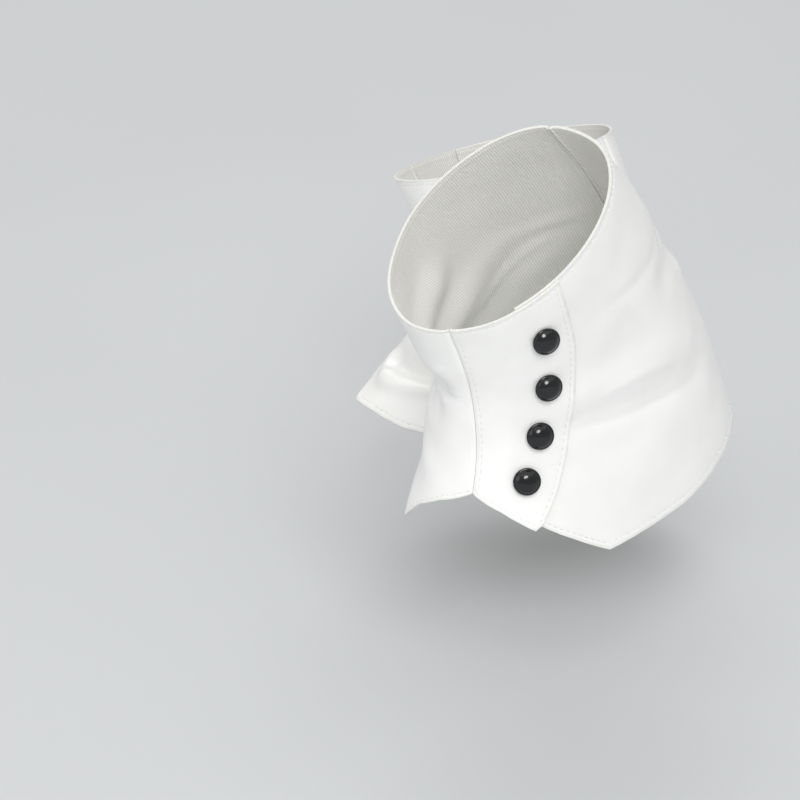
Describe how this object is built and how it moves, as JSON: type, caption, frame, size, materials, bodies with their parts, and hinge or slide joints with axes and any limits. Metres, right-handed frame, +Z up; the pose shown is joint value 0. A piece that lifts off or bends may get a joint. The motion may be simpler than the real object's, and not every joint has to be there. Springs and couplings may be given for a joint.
{
  "type": "pair of spats",
  "caption": "White leatherette spats in their worn form: hollow ankle covers with a curved buttoned flap and a notched hem.",
  "frame": {"origin": "centre of the left ankle, inside the left spat", "axes": "+Z up, the wearer faces -Y, +X to the wearer's left"},
  "size_m": [0.257, 0.2326, 0.2207],
  "materials": {
    "white_leatherette": "semi-gloss white coated leatherette",
    "black_button": "polished black domed buttons"
  },
  "bodies": {
    "root": {"left_inner_half": "white_leatherette", "left_outer_front": "white_leatherette", "left_outer_back": "white_leatherette", "left_button_1": "black_button", "left_button_2": "black_button", "left_button_3": "black_button", "left_button_4": "black_button", "right_inner_half": "white_leatherette", "right_outer_front": "white_leatherette", "right_outer_back": "white_leatherette", "right_button_1": "black_button", "right_button_2": "black_button", "right_button_3": "black_button", "right_button_4": "black_button"}
  },
  "joints": []
}
